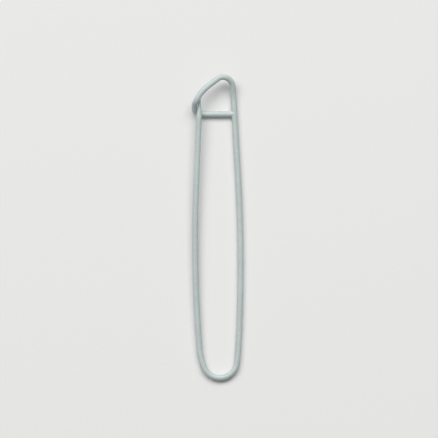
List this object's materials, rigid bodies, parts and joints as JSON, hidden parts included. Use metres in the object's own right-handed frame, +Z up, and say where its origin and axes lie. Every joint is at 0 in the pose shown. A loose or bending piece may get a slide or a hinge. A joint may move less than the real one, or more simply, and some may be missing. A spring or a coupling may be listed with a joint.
{
  "type": "stitch holder",
  "caption": "Safety-pin style knitting stitch holder: a bent enamelled wire whose pointed needle leg springs out of a hooked catch beside a triangular head.",
  "frame": {"origin": "middle of the holder's outline, on the table that it lies on", "axes": "+Y along the holder from the spring bend to the head, +X across it from the needle to the spine, +Z up off the table, out of the side where the needle's point is covered"},
  "size_m": [0.0188, 0.1116, 0.0066],
  "materials": {
    "wire_enamel": "pale grey enamel, satin, over spring steel wire",
    "joint_enamel": "the same enamel, a little uneven over the solder bead"
  },
  "bodies": {
    "spine_and_catch": {"spine": "wire_enamel", "spring_bend": "wire_enamel", "head_bow": "wire_enamel", "catch_hook": "wire_enamel", "crossbar": "wire_enamel", "weld_bead": "joint_enamel"},
    "needle": {"needle_root": "wire_enamel", "needle_shaft": "wire_enamel", "needle_point": "wire_enamel"}
  },
  "joints": [
    {"name": "needle_release", "type": "hinge", "parent": "spine_and_catch", "child": "needle", "pos_m": [-0.00504, -0.05058, 0.00115], "axis": [0.0746, -0.9866, -0.1453], "range_deg": [0, 306.25], "deforming": ["spring_bend"]}
  ]
}
